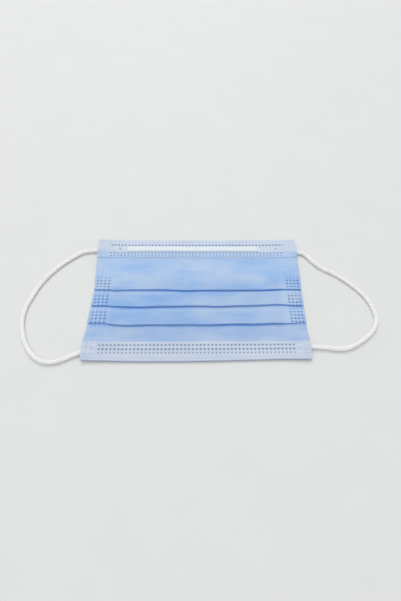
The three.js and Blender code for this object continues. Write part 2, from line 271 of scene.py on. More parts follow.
# Elastic: round where it lies clear and flat in its welded ends. LOOP_FLAT_ENDS: between which
# distances from the mask's side it changes. LOOP_TIP: length of its blunt tips.
LOOP_DIAMETER = 3.0
LOOP_HEIGHT = 2.6
LOOP_END_THICKNESS = 0.95
LOOP_END_WIDTH = 4.3
LOOP_END_INSIDE = 10.0
LOOP_END_POINTS = (0, 4, 8)
LOOP_FLAT_ENDS = (-2.5, 1.0)
LOOP_TIP = 1.0
LOOP_TIP_WIDTH = 0.75
LOOP_TIP_LOWEST = 0.04
LOOP_END_SQUARE = 0.35

# Mesh of the elastic: sides of a ring, distance of the rings and points between two route points
LOOP_SIDES = 24
LOOP_RING_STEP = 0.5
CURVE_POINTS = 24

# Knit of the elastic: ribs round it, length and turns of a stitch, depths as shares of its radius,
# and how much of the knit is pressed away in the welded ends
KNIT_RIBS = 6
STITCH_LENGTH = 1.5
STITCH_TURNS = 3
RIB_DEPTH = 0.025
STITCH_DEPTH = 0.02
KNIT_PRESSED = 0.6

# Routes of the ear loops where they lie clear of the mask: x and y
LEFT_LOOP_ROUTE = (
    (-76.4, 37.5), (-79.6, 37.1), (-83, 36.1), (-86.9, 33.6), (-91.4, 30), (-95.8, 26),
    (-100, 21.5), (-103.9, 16.2), (-107.6, 10.2), (-110.5, 3.8), (-112.6, -2.5),
    (-114.4, -8.4), (-115, -13.7), (-115, -18.5), (-114.1, -23.6), (-112.6, -28.7),
    (-110.6, -33.6), (-108, -38.1), (-104.8, -42.2), (-101.1, -45.5), (-97.3, -47.7),
    (-93.1, -48.6), (-88.8, -48.4), (-84.7, -47.1), (-80.7, -45.4), (-76.4, -43.5),
)
RIGHT_LOOP_ROUTE = (
    (76.4, 35.5), (78.6, 34.7), (81, 32), (83.4, 28.8), (86, 25.7), (88.8, 23), (92, 20.6),
    (95.3, 18.8), (98.5, 16.8), (101.6, 14.3), (104.6, 11.6), (107.6, 8.8), (110.5, 5.7),
    (113.3, 2.2), (115.9, -1.7), (117.7, -5.7), (118.9, -9.6), (119.6, -13.9),
    (119.7, -18.4), (118.6, -22.5), (116.1, -26.5), (112.8, -30.1), (108.8, -33.3),
    (104.6, -36), (100.6, -38.2), (97.1, -39.6), (93.1, -40.4), (88.6, -40.4),
    (83.6, -39.7), (76.4, -39.1),
)
ROUTE_SHIFT = 0.5

# Where the cloth rides up over a loop: height, between which distances from the side, spread in y
LOOP_LIFT = 1.2
LOOP_LIFT_ENDS = (-7, -1)
LOOP_LIFT_SPREAD = 3.0

# Camera: angles in degrees, distance, the place on the surface that it aims at, lens and near limit
CAMERA_ELEVATION = 60.081
CAMERA_YAW = 1.861
CAMERA_ROLL = 1.519
CAMERA_DISTANCE = 263.268
CAMERA_AIM = (2.478, -3.351)
CAMERA_LENS = 23.016
SENSOR = 36.0
CLIP_START = 10.0

# The cloths' 8-bit screen colours, and how strongly their clouds and welds show. fold: painted shade
# in the creases and on the turned chin edge. stack: the tint over the pleats.
BLUE_CLOTH = {
    "base": (150, 185, 232), "pale": (192, 208, 231), "weld": (68, 114, 188), "fold": (104, 163, 234),
    "stack": (238, 244, 249), "clouds": 0.7, "welds": 0.85,
}
HEM_CLOTH = {
    "base": (195, 207, 226), "pale": (210, 219, 234), "weld": (95, 114, 160), "fold": (160, 164, 196),
    "stack": (255, 255, 255), "clouds": 0.6, "welds": 1.0,
}
WHITE_CLOTH = {
    "base": (226, 231, 238), "pale": (238, 241, 245), "weld": (200, 208, 218), "fold": (226, 231, 238),
    "stack": (255, 255, 255), "clouds": 0.6, "welds": 0.5,
}

# Textures of the cloth: scale to the metre and its stretch, the two values between which they show,
# and their share in the colour
NOISE = "ShaderNodeTexNoise"
VORONOI = "ShaderNodeTexVoronoi"
CLOUDS = {"Scale": 48.0, "Detail": 4.0, "Roughness": 0.55}
CLOUD_STRETCH = {"Scale": (0.55, 1.25, 1.0)}
CLOUD_CONTRAST = (0.4, 0.62)
DRIFTS = {"Scale": 150.0, "Detail": 5.0, "Roughness": 0.6}
DRIFT_STRETCH = {"Scale": (0.3, 1.5, 1.0)}
DRIFT_CONTRAST = (0.42, 0.66)
DRIFT_SHARE = 0.5
STREAKS = {"Scale": 900.0, "Detail": 4.0, "Roughness": 0.65}
STREAK_STRETCH = {"Scale": (0.35, 1.6, 1.0)}
STREAK_CONTRAST = (0.45, 0.7)
STREAK_SHARE = 0.22
FIBRES = {"Scale": 1900.0, "Detail": 3.0, "Roughness": 0.7}
BONDS = {"Scale": 820.0, "Randomness": 0.0}
BOND_TURN = {"Rotation": (0, 0, math.radians(45))}
BOND_CONTRAST = (0.28, 0.16)
BOND_SHARE = 0.16
# Share of the painted crease shade in the colour
PAINTED_SHADE_SHARE = 0.7

# Surface of the cloth: its shader, how the welds gloss it, and the shares and depth of its relief.
# Lengths in a shader are in metres.
CLOTH_SURFACE = {
    "Sheen Weight": 0.1, "Sheen Roughness": 0.5, "Specular IOR Level": 0.2, "Subsurface Weight": 0.3,
    "Subsurface Radius": (0.4, 0.6, 1.0), "Subsurface Scale": 0.0008,
}
CLOTH_ROUGHNESS = 0.92
WELD_GLOSS = 0.35
FIBRE_RELIEF = 0.5
STREAK_RELIEF = 0.6
BOND_RELIEF = 0.5
CLOTH_BUMP = {"Strength": 0.35, "Distance": 0.0001}

# What shows through the hems: the blue ply below the nose wire, less where the hem is welded, the
# wire, and the loops' welded ends. Edges are axis, place and softness, below 0 at a high end.
# HEM_HALVES: how far from y 0 a tint of one hem only is full.
OVER_BLUE = (171, 197, 233)
OVER_BLUE_FADE = (38.5, 34.5)
OVER_BLUE_SHARE = 0.75
WELD_COVER = 0.8
HEM_HALVES = 4.0
# Painted shade that makes the chin hem a little darker
CHIN_PAINTED_SHADE = (252, 251, 251)
OVER_WIRE = (227, 236, 240)
OVER_WIRE_SHARE = 0.85
OVER_WIRE_EDGES = (
    (0, WIRE_LOW[0], 0.6), (0, WIRE_HIGH[0], -2.6), (1, WIRE_LOW[1], 0.5), (1, WIRE_HIGH[1], -0.5),
)
LOOP_PATCH = (214, 224, 236)
LOOP_PATCH_SHARE = 0.3
LOOP_PATCH_HALF = (2.7, 3.0)
LOOP_PATCH_SOFT = 0.6

# Greyer blue below the last pleat: places in y where it fades in
LOW_PANEL = (194, 194, 202)
LOW_PANEL_FADE = (-21.0, -26.0)
LOW_PANEL_SHARE = 0.2

# Plain materials: two colours, the grain's scale to the metre, its depth in metres, and the shader
PLAIN_GRAIN = {"Detail": 4.0, "Roughness": 0.6}
PLAIN_CONTRAST = (0.35, 0.7)
PLAIN_BUMP = 0.4
ELASTIC = ((228, 228, 224), (234, 234, 230), 2600.0, 0.0001)
ELASTIC_SURFACE = {
    "Roughness": 0.85, "Sheen Weight": 0.3, "Subsurface Weight": 0.95,
    "Subsurface Radius": (1.0, 0.97, 0.9), "Subsurface Scale": 0.0035,
}
WIRE_SHEATH = ((238, 240, 243), (248, 249, 250), 700.0, 0.00003)
WIRE_SURFACE = {"Roughness": 0.4}
FLOOR = ((223, 224, 221), (225, 226, 223), 30.0, 0.00001)
FLOOR_SURFACE = {"Roughness": 0.7, "Specular IOR Level": 0.2}

# Studio, in metres: the floor, the lights (name, place, size, watts, colour) and the sky
FLOOR_HALF = 3.0
LIGHTS = (
    ("window", (-0.15, 1.4, 1.62), 1.1, 14.2, (1.0, 0.99, 0.98)),
    ("overhead", (-0.3, -0.2, 1.8), 1.6, 8.5, (0.98, 0.99, 1.0)),
)
SKY_COLOR = (0.95, 0.97, 1.0, 1.0)
SKY_STRENGTH = 0.635


# Camera

def make_camera():
    elevation, yaw, roll = (math.radians(a) for a in (CAMERA_ELEVATION, CAMERA_YAW, CAMERA_ROLL))
    level = math.cos(elevation)
    forward = Vector((math.sin(yaw) * level, math.cos(yaw) * level, -math.sin(elevation)))
    right = Vector((math.cos(yaw), -math.sin(yaw), 0))
    up = right.cross(forward)
    rolled_right = math.cos(roll) * right + math.sin(roll) * up
    rolled_up = -math.sin(roll) * right + math.cos(roll) * up
    aim = Vector((*CAMERA_AIM, 0)) * MM
    turned = Matrix((rolled_right, rolled_up, -forward)).transposed().to_4x4()
    data = bpy.data.cameras.new("camera")
    data.sensor_width = SENSOR
    data.lens = CAMERA_LENS
    data.clip_start = CLIP_START * MM
    camera = bpy.data.objects.new("camera", data)
    camera.matrix_world = Matrix.Translation(aim - CAMERA_DISTANCE * MM * forward) @ turned
    bpy.context.collection.objects.link(camera)
    bpy.context.scene.camera = camera


# Meshes

def make_object(name, points, faces, material, **values):
    """A smooth mesh from points in millimetres, with named values on its points."""
    mesh = bpy.data.meshes.new(name)
    mesh.from_pydata((points * MM).tolist(), [], faces)
    mesh.update()
    for key, value in values.items():
        layer = mesh.attributes.new(key, "FLOAT", "POINT")
        layer.data.foreach_set("value", value.astype(np.float32))
    mesh.polygons.foreach_set("use_smooth", [True] * len(mesh.polygons))
    mesh.materials.append(material)
    made = bpy.data.objects.new(name, mesh)
    bpy.context.collection.objects.link(made)
    return made


def grid_faces(grid):
    """Faces between the neighbours in a grid of point numbers."""
    corners = (grid[:-1, :-1], grid[:-1, 1:], grid[1:, 1:], grid[1:, :-1])
    return np.stack(corners, axis=-1).reshape(-1, 4)


def rim_faces(top, low):
    """Faces between a line of points on top and the same line below."""
    return np.stack([top[:-1], low[:-1], low[1:], top[1:]], axis=-1)


def slab_faces(rows, columns):
    """Faces of a closed slab: a top grid, a bottom grid and the four edges between them."""
    top = np.arange(rows * columns).reshape(rows, columns)
    low = top + rows * columns
    faces = [
        grid_faces(top)[:, ::-1], grid_faces(low),
        rim_faces(top[0], low[0])[:, ::-1], rim_faces(top[-1], low[-1]),
        rim_faces(top[:, 0], low[:, 0]), rim_faces(top[:, -1], low[:, -1])[:, ::-1],
    ]
    return np.concatenate(faces).tolist()


# Values along the cloth

def smoothstep(low, high, value):
    """0 below low, 1 above high, and a soft rise between them."""
    share = np.clip((value - low) / (high - low), 0, 1)
    return share * share * (3 - 2 * share)


def rise_at(place, ends, value):
    """A smoothstep between two distances from a place."""
    return smoothstep(place + ends[0], place + ends[1], value)


def blend(start, end, share):
    return start * (1 - share) + end * share


def smoothed(at, places, values, smoothing):
    """Value of a table at each place, averaged over its neighbourhood."""
    reach, samples = smoothing
    return sum(np.interp(at + d, places, values) for d in np.linspace(-reach, reach, samples)) / samples


def column(name, x):
    """Value of one column of the section table along the width."""
    return smoothed(x / HALF_WIDTH, TABLE["at"], TABLE[name], SECTION_SMOOTHING)


def bowed(x, y):
    """Place along the width, moved so that the cloth ends on its side line."""
    places, *edges = zip(*SIDE_LINE)
    left, right = (smoothed(y, places, moves, SIDE_LINE_SMOOTHING) for moves in edges)
    return x + column("bow", x) * np.where(x < 0, left, right)


def ripple(x, y, length, seed):
    """A soft uneven wave over the cloth, between about -1 and 1."""
    random = np.random.default_rng(seed)
    total = np.zeros_like(y)
    for _ in range(RIPPLE_WAVES):
        angle = random.uniform(0, math.pi)
        size = length * random.uniform(*RIPPLE_SPREAD)
        phase = random.uniform(0, 2 * math.pi)
        total = total + np.sin(2 * math.pi * (x * math.cos(angle) + y * math.sin(angle)) / size + phase)
    return total / (RIPPLE_WAVES / 2)


def wave(x, y):
    """Gentle unevenness of the lying cloth, weaker where it is welded flat."""
    calm = 1 - WELDED_CALM * pressed(x)
    return calm * sum(height * ripple(x, y, length, seed) for height, length, seed in RIPPLES)


def loop_lift(x, y):
    """How far the cloth rides up where a loop comes out from under it."""
    lift = np.zeros_like(y)
    for side, route in ((-1, LEFT_LOOP_ROUTE), (1, RIGHT_LOOP_ROUTE)):
        near_side = rise_at(HALF_WIDTH, LOOP_LIFT_ENDS, side * x)
        for exit_y in (route[0][1] + ROUTE_SHIFT, route[-1][1] + ROUTE_SHIFT):
            lift = lift + near_side * np.exp(-((y - exit_y) / LOOP_LIFT_SPREAD) ** 2)
    return LOOP_LIFT * lift


# Sections of the folded cloth

def pressed(x):
    """1 where the side welds press the pleats together, 0 in the free middle."""
    return smoothstep(PRESS_FROM, PRESS_TO, np.abs(x))


def layer_levels(x):
    """Heights of the three layers of a pleat, lowest first."""
    puff = column("puff", x) * PLEAT_PUFF
    free = [level + puff * i / 2 for i, level in enumerate(FREE_LEVELS)]
    return [blend(level, low, pressed(x)) for level, low in zip(free, PRESSED_LEVELS)]


def fold_edges(x):
    """Place in y of each fold's edge, from the nose to the chin."""
    steps = [share * PLEAT_STEP for share in PLEAT_STEPS]
    y = (len(steps) * PLEAT_DEPTH + sum(steps)) / 2 - STACK_DROP
    edges = []
    for i, step in enumerate(steps):
        y -= PLEAT_DEPTH + step
        waves = sum(height * np.sin(x / length + shift * i) for height, length, shift in FOLD_WAVES)
        edges.append(y - column(f"fold{i + 1}", x) * FOLD_SAG + waves)
    return edges


def nose_level(x):
    return HEM_LEVEL + column("nose", x) * CORNER_LIFT


def chin_level(x):
    return HEM_LEVEL + column("chin", x) * CORNER_LIFT


def band_level(x, y):
    return np.where(y > 0, nose_level(x), chin_level(x))


def nose_edge(x):
    return np.full_like(x, NOSE_EDGE)


def chin_edge(x):
    return CHIN_EDGE - column("edge", x) * CHIN_EDGE_SAG


def rows_for(length, step):
    return max(2, round(length / step))


def run(start, end, count):
    """Rows of a stretch of cloth, after its start. Start and end are places in y and z."""
    start_y, start_z = start
    end_y, end_z = end
    rows = []
    for i in range(1, count + 1):
        share = i / count
        eased = (1 - math.cos(math.pi * share)) / 2
        rows.append((start_y + (end_y - start_y) * share, start_z + (end_z - start_z) * eased))
    return rows


def turn(edge, start_z, end_z, facing):
    """Rows of a round fold, after its start, whose middle line reaches out to edge."""
    radius = np.abs(end_z - start_z) / 2
    middle = (start_z + end_z) / 2
    down = np.sign(start_z - end_z)
    rows = []
    for i in range(1, TURN_ROWS + 1):
        angle = math.pi * (i / TURN_ROWS - 0.5)
        y = edge + facing * radius * (math.cos(angle) - 1)
        rows.append((y, middle - down * radius * math.sin(angle)))
    return rows


def pleat_rows(edge, low, middle, high):
    """Rows of a pleat: down to its fold in view, up behind it, and down again behind that."""
    top = edge + PLEAT_DEPTH
    front_end = edge + (high - middle) / 2 + PLY
    back_end = top - (middle - low) / 2 - PLY
    rows = run((top, high), (front_end, high), rows_for(PLEAT_DEPTH, VISIBLE_ROW))
    rows += turn(edge + PLY, high, middle, -1)
    rows += run((front_end, middle), (back_end, middle), BACK_LEG_ROWS)
    rows += turn(top - PLY, middle, low, 1)
    rows += run((back_end, low), (edge, low), rows_for(PLEAT_DEPTH, HIDDEN_ROW))
    return rows


def cloth_rows(x):
    """Middle of the two plies from inside the nose hem to inside the chin hem."""
    low, middle, high = layer_levels(x)
    edges = fold_edges(x)
    start = (NOSE_EDGE - CLOTH_INSIDE, nose_level(x))
    nose_rise = (NOSE_BAND_EDGE + NOSE_RISE_INSIDE, nose_level(x))
    chin_rise = (CHIN_BAND_EDGE - CHIN_RISE_INSIDE, chin_level(x))
    end = (chin_edge(x) + CLOTH_INSIDE, chin_level(x))
    rows = [start] + run(start, nose_rise, rows_for(NOSE_BAND, HIDDEN_ROW))
    rows += run(nose_rise, (edges[0] + PLEAT_DEPTH, high), TOP_PANEL_ROWS)
    for i, edge in enumerate(edges):
        rows += pleat_rows(edge, low, middle, high)
        if i + 1 < len(edges):
            count = rows_for(PLEAT_STEP * PLEAT_STEPS[i + 1], FINE_ROW)
            rows += run((edge, low), (edges[i + 1] + PLEAT_DEPTH, high), count)
    rows += run((edges[-1], low), chin_rise, LOW_PANEL_ROWS)
    rows += run(chin_rise, end, rows_for(CHIN_BAND, HIDDEN_ROW))
    return rows


def hem_rows(x, level, edge, band_edge, facing):
    """Middle of a hem from its free edge on the front, round the mask's edge and along the back."""
    front = level + PLY_GAP + PLY * 1.5 + PLY_GAP
    back = level - PLY / 2 - PLY_GAP / 2
    radius = (front - back) / 2
    turn_start = edge - facing * (radius + PLY / 2)
    count = rows_for(np.abs(turn_start - band_edge).max(), FINE_ROW)
    rows = [(band_edge, front)] + run((band_edge, front), (turn_start, front), count)
    rows += turn(edge - facing * PLY / 2, front, back, facing)
    rows += run((turn_start, back), (band_edge, back), count)
    return rows


def as_grids(rows, x):
    """The rows' y and z as two grids, with a column for each place along the width."""
    return [np.array([np.broadcast_to(row[axis], x.shape) for row in rows]) for axis in (0, 1)]


def offset(y, z, distance):
    """Move a surface along its own normal in the Y-Z plane, up where it runs to the chin."""
    step_y = np.gradient(y, axis=0)
    step_z = np.gradient(z, axis=0)
    length = np.maximum(np.hypot(step_y, step_z), SHORTEST_STEP)
    return y + step_z / length * distance, z - step_y / length * distance


# Welds

def dot(away_x, away_y, radius):
    """How far a weld dot presses: 1 in its flat middle, 0 outside."""
    away = (np.abs(away_x) ** DOT_POWER + np.abs(away_y) ** DOT_POWER) ** (1 / DOT_POWER)
    return 1 - smoothstep(radius * DOT_FLAT, radius * DOT_RIM, away)


def from_nearest(value, phase):
    """Distance from the nearest place at the weld pitch."""
    return (value - phase + WELD_PITCH / 2) % WELD_PITCH - WELD_PITCH / 2


def between(value, low, high):
    return ((value >= low) & (value <= high)).astype(float)


def stack_share(x, y):
    """1 where a pleat stacks three layers, less on the single cloth between the stacks."""
    share = np.zeros_like(y)
    for edge in fold_edges(x):
        rise = sum(part * rise_at(edge, ends, y) for part, ends in WELD_STEPS)
        share = np.maximum(share, rise * (1 - rise_at(edge + PLEAT_DEPTH, WELD_FADE, y)))
    return share


def side_welds(x, y):
    """Columns of dots at both sides, deep where the pleats are stacked."""
    on_side = between(y, CHIN_BAND_EDGE + BAND_CLEARANCE, NOSE_BAND_EDGE - BAND_CLEARANCE)
    strength = blend(HEM_SIDE_WELD, blend(SINGLE_WELD, 1, stack_share(x, y)), on_side)
    strength = strength * between(y, CHIN_EDGE + SIDE_WELD_ENDS[0], NOSE_EDGE - SIDE_WELD_ENDS[1])
    scale_x, scale_y = SIDE_WELD_SCALE
    away_y = from_nearest(y, SIDE_WELD_PHASE) * scale_y
    radius = SIDE_WELD_WIDTH / 2
    spots = [dot((x - weld_x) * scale_x, away_y, radius) for weld_x in LEFT_WELDS + RIGHT_WELDS]
    return strength * np.maximum.reduce(spots)


def band_welds(x, y):
    """Rows of dots along both bands."""
    away_x = from_nearest(x, HEM_WELD_PHASE)
    rows = []
    for row_y, strength, reach, width in BAND_DOT_ROWS:
        inside = 1 - rise_at(reach, ROW_END_FADE, np.abs(x))
        rows.append(strength * inside * dot(away_x, y - row_y, width / 2))
    return np.maximum.reduce(rows)


def stop_spots(x, y):
    """Single dots beside the ends of the wire."""
    spots = [dot(x - spot_x, y - spot_y, STOP_SPOT_RADIUS) for spot_x, spot_y in STOP_SPOTS]
    return STOP_SPOT_STRENGTH * np.maximum.reduce(spots)


def loop_marks(x, y):
    """Slanting marks over the welded ends of the loops."""
    scale, slant = LOOP_MARK_SLANT
    marks = []
    for mark_x, mark_y in LOOP_MARKS:
        away_x = (x - mark_x) * scale + (y - mark_y) * slant
        marks.append(dot(away_x, y - mark_y, LOOP_MARK_RADIUS))
    return LOOP_MARK_STRENGTH * np.maximum.reduce(marks)


def weld_field(x, y):
    """How far the cloth is pressed at each place, 0 to 1."""
    kinds = (side_welds, band_welds, stop_spots, loop_marks)
    return np.maximum.reduce([kind(x, y) for kind in kinds])


def base_height(x, y):
    """Lowest level that the welds press the cloth down to."""
    edges = fold_edges(x)
    to_nose = smoothstep(edges[0] + PLEAT_DEPTH, NOSE_BAND_EDGE, y)
    to_chin = smoothstep(edges[-1], CHIN_BAND_EDGE, y)
    level = blend(layer_levels(x)[0], nose_level(x), to_nose)
    return blend(level, chin_level(x), to_chin) - PLY - PLY_GAP


def in_hem(y):
    """1 where a hem covers the cloth."""
    return ((y > NOSE_BAND_EDGE + HEM_MARGIN) | (y < CHIN_BAND_EDGE - HEM_MARGIN)).astype(float)


def press_pleats(x, y, z):
    """Squeeze the whole stack of cloth towards its base at the side welds."""
    field = weld_field(x, y) * (1 - in_hem(y))
    base = base_height(x, y)
    return base + (z - base) * (1 - WELD_SQUEEZE * field), field


def press_under_hem(x, y, z):
    """The blue ply: as the pleats, and thinned along the dot rows below the hems."""
    z, field = press_pleats(x, y, z)
    above = np.clip(z - band_level(x, y), 0, PLY + PLY_GAP)
    stripe = weld_field(x, y)
    for row_y, strength, _, width in BAND_DOT_ROWS:
        away = smoothstep(*(width * share for share in STRIPE_REACH), np.abs(y - row_y))
        stripe = np.maximum(stripe, strength * (1 - away))
    return z - in_hem(y) * above * STRIPE_THINNING * np.clip(stripe * STRIPE_GAIN, 0, 1), field


def press_hem(x, y, z):
    """A hem: its front is pushed into the ply below at each dot, its back is thinned."""
    field = weld_field(x, y)
    height = z - band_level(x, y)
    front = smoothstep(*HEM_FRONT_HEIGHTS, height)
    back = smoothstep(*HEM_BACK_HEIGHTS, height)
    return z - field * (HEM_PUSH * front - HEM_BACK_PUSH * back), field


# Shades of the cloth

def pleated_zone(x, y):
    """1 over the pleats, fading out above and below them, less where they are pressed."""
    edges = fold_edges(x)
    zone = (1 - rise_at(edges[0], ZONE_ABOVE, y)) * rise_at(edges[-1], ZONE_BELOW, y)
    return (1 - PRESSED_PALING * pressed(x)) * zone


def painted_fold_shade(x, y, z):
    """Painted shade of the fold creases, of a faint crease above the chin edge and of its turned edge.
    """
    highest = layer_levels(x)[-1] + PLY * CREASE_PLY_SHARE
    shade = np.zeros_like(y)
    at, *folds = zip(*CREASES)
    for edge, depths in zip(fold_edges(x), folds):
        depth = np.interp(x / HALF_WIDTH, at, depths)
        below = 1 - smoothstep(CREASE_START, depth, edge - y)
        riser = (y < edge + CREASE_ABOVE) & (z < highest)
        shade = np.maximum(shade, np.minimum(depth, CREASE_LIMIT) * below * riser)
    above_chin = y - chin_edge(x)
    # painted shade of a faint crease above the chin edge
    chin_crease = CHIN_CREASE_SHADE * np.exp(-((above_chin - CHIN_CREASE) / CHIN_CREASE_WIDTH) ** 2)
    turned = 1 - smoothstep(*CHIN_TURN_SHADE, above_chin)
    return np.maximum.reduce([shade, chin_crease, turned])


# Pieces of cloth

def lay(x, y, z, press):
    """Points of one face of the cloth as it lies, and how far each is welded."""
    pressed_z, field = press(x, y, z)
    lift = wave(x, y) * smoothstep(*RIPPLE_HEIGHTS, pressed_z)
    height = np.maximum(pressed_z + lift, LOWEST_CLOTH) + loop_lift(x, y)
    return np.stack([bowed(x, y), y, height], axis=-1).reshape(-1, 3), field.ravel()


def cloth_slab(name, x, faces, material, press):
    """Closed cloth between a top and a low face, given as grids of y and z."""
    x = np.broadcast_to(x, faces[0][0].shape)
    points, weld = (np.concatenate(part) for part in zip(*[lay(x, y, z, press) for y, z in faces]))
    # painted shade in the creases and on the turned chin edge
    fold = np.concatenate([painted_fold_shade(x, y, z).ravel() for y, z in faces])
    stack = np.concatenate([pleated_zone(x, y).ravel() for y, _ in faces])
    return make_object(name, points, slab_faces(*x.shape), material, weld=weld, fold=fold, stack=stack)


def weld_columns(places, low, high, spare):
    """Columns close enough beside each weld place to shape its dots, wider apart elsewhere."""
    fine = [place + d for place in places for d in WELD_COLUMNS if low < place + d < high]
    coarse = np.linspace(low, high, rows_for(high - low, spare) + 1)
    kept = [c for c in coarse if all(abs(c - f) > spare * COLUMN_CLEARANCE for f in fine)]
    return sorted({low, high, *fine, *kept})


def panel_columns():
    left = weld_columns(LEFT_WELDS, -HALF_WIDTH, -PLAIN_HALF, SIDE_COLUMN)
    middle = np.linspace(-PLAIN_HALF, PLAIN_HALF, PLAIN_COLUMNS)[1:-1]
    right = weld_columns(RIGHT_WELDS, PLAIN_HALF, HALF_WIDTH, SIDE_COLUMN)
    return np.concatenate([left, middle, right])


def hem_columns():
    count = int(HALF_WIDTH / WELD_PITCH)
    places = [i * WELD_PITCH + HEM_WELD_PHASE for i in range(-count, count + 1)]
    return np.array(weld_columns(places, -HALF_WIDTH, HALF_WIDTH, HEM_COLUMN))


def make_outer_ply():
    x = panel_columns()
    y, z = as_grids(cloth_rows(x), x)
    faces = [offset(y, z, PLY + PLY_GAP / 2), offset(y, z, PLY_GAP / 2)]
    ply = cloth_slab("outer_ply", x, faces, MATERIALS["blue"], press_under_hem)
    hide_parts("pleated_panel")
    return ply


def make_inner_ply():
    """The white ply behind the blue one, between the hems' back legs."""
    x = panel_columns()
    y, z = as_grids(cloth_rows(x), x)
    nose_seam = NOSE_BAND_EDGE - HEM_BACK_GAP
    chin_seam = CHIN_BAND_EDGE + HEM_BACK_GAP
    kept = (y.max(axis=1) < nose_seam) & (y.min(axis=1) > chin_seam)
    first, last = np.flatnonzero(kept)[[0, -1]]
    y, z = (grid[first - 1:last + 2] for grid in (y, z))
    y[0], y[-1] = nose_seam, chin_seam
    faces = [offset(y, z, -PLY_GAP / 2), offset(y, z, -PLY - PLY_GAP / 2)]
    ply = cloth_slab("inner_ply", x, faces, MATERIALS["white"], press_pleats)
    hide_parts("pleated_panel")
    return ply


def ridge(x, y):
    """How far the nose wire lifts the hem above it."""
    across = 1 - rise_at(WIRE_HALF, RIDGE_SIDE, np.abs(y - WIRE_MIDDLE))
    left = rise_at(WIRE_LOW[0], RIDGE_LEFT_END, x)
    right = 1 - rise_at(WIRE_HIGH[0], RIDGE_RIGHT_END, x)
    return RIDGE_HEIGHT * across * left * right


def make_hem(name, node, level, edge, band_edge, facing):
    """A white band folded over an edge. facing: 1 at the nose edge, -1 at the chin edge."""
    x = hem_columns()
    y, z = as_grids(hem_rows(x, level(x), edge(x), band_edge, facing), x)
    z = z + ridge(x, y) * (z > level(x))
    thin = np.ones((len(y), 1))
    thin[:len(HEM_EDGE_THINNING), 0] = HEM_EDGE_THINNING
    faces = [offset(y, z, -facing * PLY / 2 * thin), offset(y, z, facing * PLY / 2)]
    nose_to_chin = [[grid[::-facing] for grid in face] for face in faces]
    hem = cloth_slab(name, x, nose_to_chin, MATERIALS["hem"], press_hem)
    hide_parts(node)
    return hem


def make_wire():
    """Flat plastic strip with two round cores, under the nose hem."""
    across = np.linspace(WIRE_HALF, -WIRE_HALF, WIRE_ROWS)
    from_core = (np.abs(across) - WIRE_HALF * CORE_PLACE) / CORE_SPREAD
    height = SHEATH_HEIGHT + CORE_HEIGHT * np.exp(-from_core ** 2)
    height[[0, -1]] = WIRE_RIM
    x, y = np.meshgrid(np.linspace(WIRE_LOW[0], WIRE_HIGH[0], WIRE_COLUMNS), WIRE_MIDDLE + across)
    low = nose_level(x) + PLY + PLY_GAP + WIRE_CLEARANCE + wave(x, y)
    faces = [np.stack([x, y, z], axis=-1).reshape(-1, 3) for z in (low + height[:, None], low)]
    wire = make_object("wire_strip", np.concatenate(faces), slab_faces(*y.shape), MATERIALS["wire"])
    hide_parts("nose_wire")
    return wire


# Ear loops

def curve_through(points):
    """Points at an even step along a smooth curve through the given points."""
    given = np.array(points, dtype=float)
    given = np.concatenate([[2 * given[0] - given[1]], given, [2 * given[-1] - given[-2]]])
    curve = []
    for a, b, c, d in zip(given, given[1:], given[2:], given[3:]):
        for t in np.linspace(0, 1, CURVE_POINTS, endpoint=False):
            square = (2 * a - 5 * b + 4 * c - d) * t**2
            cube = (3 * b - a - 3 * c + d) * t**3
            curve.append((2 * b + (c - a) * t + square + cube) / 2)
    curve = np.array(curve + [given[-2]])
    along = np.concatenate([[0], np.cumsum(np.linalg.norm(np.diff(curve, axis=0), axis=1))])
    places = np.linspace(0, along[-1], round(along[-1] / LOOP_RING_STEP) + 1)
    return np.stack([np.interp(places, along, values) for values in curve.T], axis=-1)


def loop_route(route, side, nose_node, chin_node):
    """The free route with its two welded ends, which lie under the corners of the mask."""
    free = [(x, y + ROUTE_SHIFT) for x, y in route]
    inner = HALF_WIDTH - LOOP_END_INSIDE
    ends = []
    for end_node, (near_x, near_y) in ((nose_node, free[0]), (chin_node, free[-1])):
        _, high = (np.array(p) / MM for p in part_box(end_node))
        tip_y = high[1] - LOOP_END_WIDTH / 2
        slope = (tip_y - near_y) / (abs(near_x) - inner)
        places = [inner + d for d in LOOP_END_POINTS]
        ends.append([(side * x, near_y + slope * (abs(near_x) - x)) for x in places])
    return ends[0] + free + ends[1][::-1]


def loop_sections(route):
    """Width, height and flatness of the elastic along its route, with blunt tips."""
    flat = 1 - rise_at(HALF_WIDTH, LOOP_FLAT_ENDS, np.abs(route[:, 0]))
    number = np.arange(len(route))
    from_tip = np.clip(np.minimum(number, number[::-1]) * LOOP_RING_STEP / LOOP_TIP, 0, 1)
    blunt = np.sqrt(np.clip(1 - (1 - from_tip) ** 2, LOOP_TIP_LOWEST, 1))
    width = blend(LOOP_DIAMETER, LOOP_END_WIDTH, flat) * blend(LOOP_TIP_WIDTH, 1, blunt)
    height = blend(LOOP_HEIGHT, LOOP_END_THICKNESS, flat) * blunt
    return width, height, flat


def knit(angles, along, flat):
    """Share of the elastic's size that its ribs and slanting stitches leave."""
    rib = (1 + np.cos(KNIT_RIBS * angles)) / 2
    stitch = (1 + np.cos(2 * math.pi * along / STITCH_LENGTH + STITCH_TURNS * angles)) / 2
    return 1 - (RIB_DEPTH * rib + STITCH_DEPTH * stitch) * (1 - KNIT_PRESSED * flat)


def rounded(part, power):
    return np.sign(part) * np.abs(part) ** power


